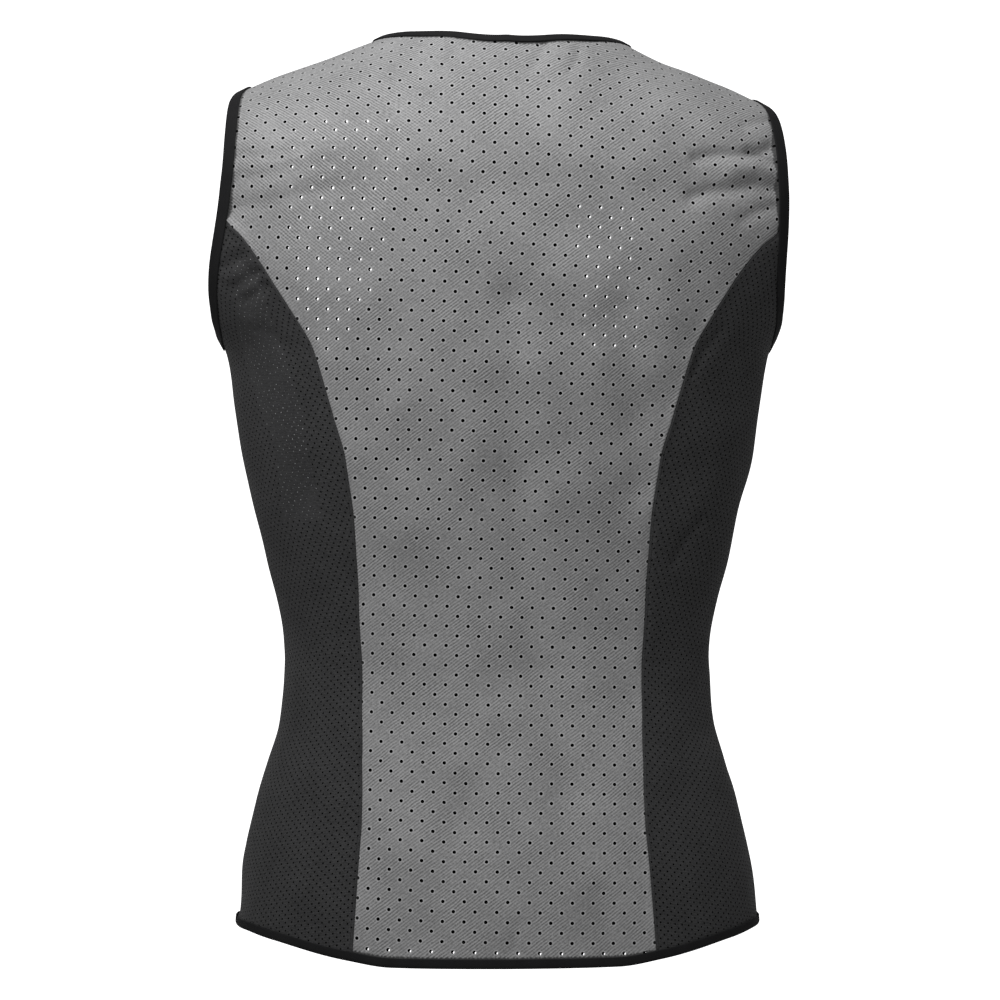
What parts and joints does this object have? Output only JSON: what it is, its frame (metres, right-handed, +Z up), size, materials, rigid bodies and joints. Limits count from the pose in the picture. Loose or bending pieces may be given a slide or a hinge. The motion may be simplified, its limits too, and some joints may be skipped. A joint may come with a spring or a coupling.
{
  "type": "cooling vest",
  "caption": "Sleeveless women's cooling vest in its worn shape: perforated back and fronts, dark mesh side panels, bound edges, closed front zip.",
  "frame": {"origin": "midway between the neck ends of the two shoulder seams, where the wearer's shoulders carry the vest", "axes": "+Z up, +Y towards the wearer's front, +X towards the wearer's right, so the back faces -Y"},
  "size_m": [0.3747, 0.2497, 0.5994],
  "materials": {
    "grey_cloth": "matte perforated cloth with a fine diagonal rib",
    "dark_mesh": "matte fine-holed mesh",
    "black_tape": "matte folded binding tape",
    "zip": "moulded teeth on woven tape"
  },
  "bodies": {
    "root": {"back_panel": "grey_cloth", "front_panel_right": "grey_cloth", "front_panel_left": "grey_cloth", "side_panel_right": "dark_mesh", "side_panel_left": "dark_mesh", "armhole_binding_right": "black_tape", "armhole_binding_left": "black_tape", "neck_binding": "black_tape", "hem_binding": "black_tape", "front_zip": "zip"}
  },
  "joints": []
}
